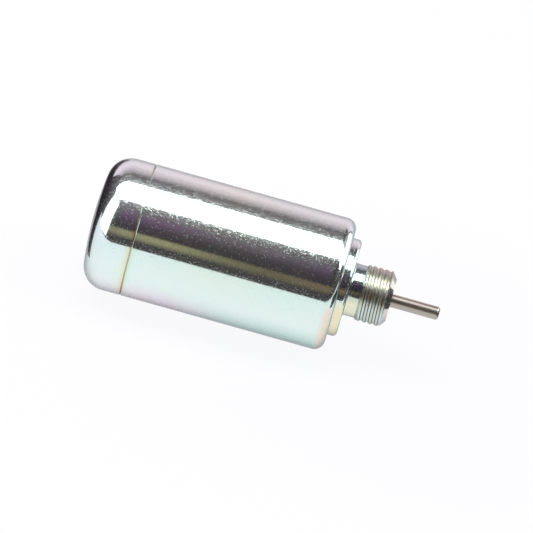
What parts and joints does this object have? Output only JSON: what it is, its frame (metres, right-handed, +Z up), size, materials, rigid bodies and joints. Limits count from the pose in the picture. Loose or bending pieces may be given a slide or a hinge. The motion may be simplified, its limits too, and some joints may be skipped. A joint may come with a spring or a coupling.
{
  "type": "fuel shutoff solenoid",
  "caption": "Cylindrical push-pin solenoid in a closed plated can with a stepped front, threaded nose and sprung pin.",
  "frame": {"origin": "on the axis, in the middle of the nose's thread, 6.3 mm in front of the seat face", "axes": "+X out of the nose along the push pin, +Y the side with the terminals, +Z up"},
  "size_m": [0.0871, 0.0448, 0.033],
  "materials": {
    "plated_steel": "bright zinc plate with clear iridescent passivation",
    "pin_steel": "ground steel",
    "soft_iron": "turned soft iron",
    "spring_steel": "drawn spring wire",
    "copper": "enamelled copper wire",
    "brass": "drawn brass",
    "bronze": "sintered bronze",
    "tinned_brass": "tinned, stamped brass",
    "rubber": "moulded nitrile rubber",
    "bobbin_plastic": "moulded glass-filled nylon, natural",
    "tape": "polyester tape",
    "block_plastic": "moulded glass-filled nylon, black"
  },
  "bodies": {
    "housing": {"can": "plated_steel", "rear_cap": "plated_steel", "nose_flange": "plated_steel", "rear_pole": "soft_iron", "rear_plate": "soft_iron", "return_spring": "spring_steel", "coil": "copper", "coil_wrap": "tape", "bobbin": "bobbin_plastic", "guide_tube": "brass", "residual_shim": "brass", "guide_bush": "bronze", "bumper_washer": "rubber", "flange_ring": "rubber", "stack_ring": "rubber", "pin_seal": "rubber", "terminal_gasket": "rubber", "terminal_block": "block_plastic", "terminal_blade_front": "tinned_brass", "terminal_blade_rear": "tinned_brass", "coil_lead_front": "copper", "coil_lead_rear": "copper"},
    "plunger_set": {"plunger": "soft_iron", "push_pin": "pin_steel"}
  },
  "joints": [
    {"name": "plunger_slide", "type": "slide", "parent": "housing", "child": "plunger_set", "axis": [1, 0, 0], "range_m": [-0.008, 0], "stiffness_N_per_m": 1140, "springref_m": 0.01, "deforming": ["return_spring"]}
  ]
}
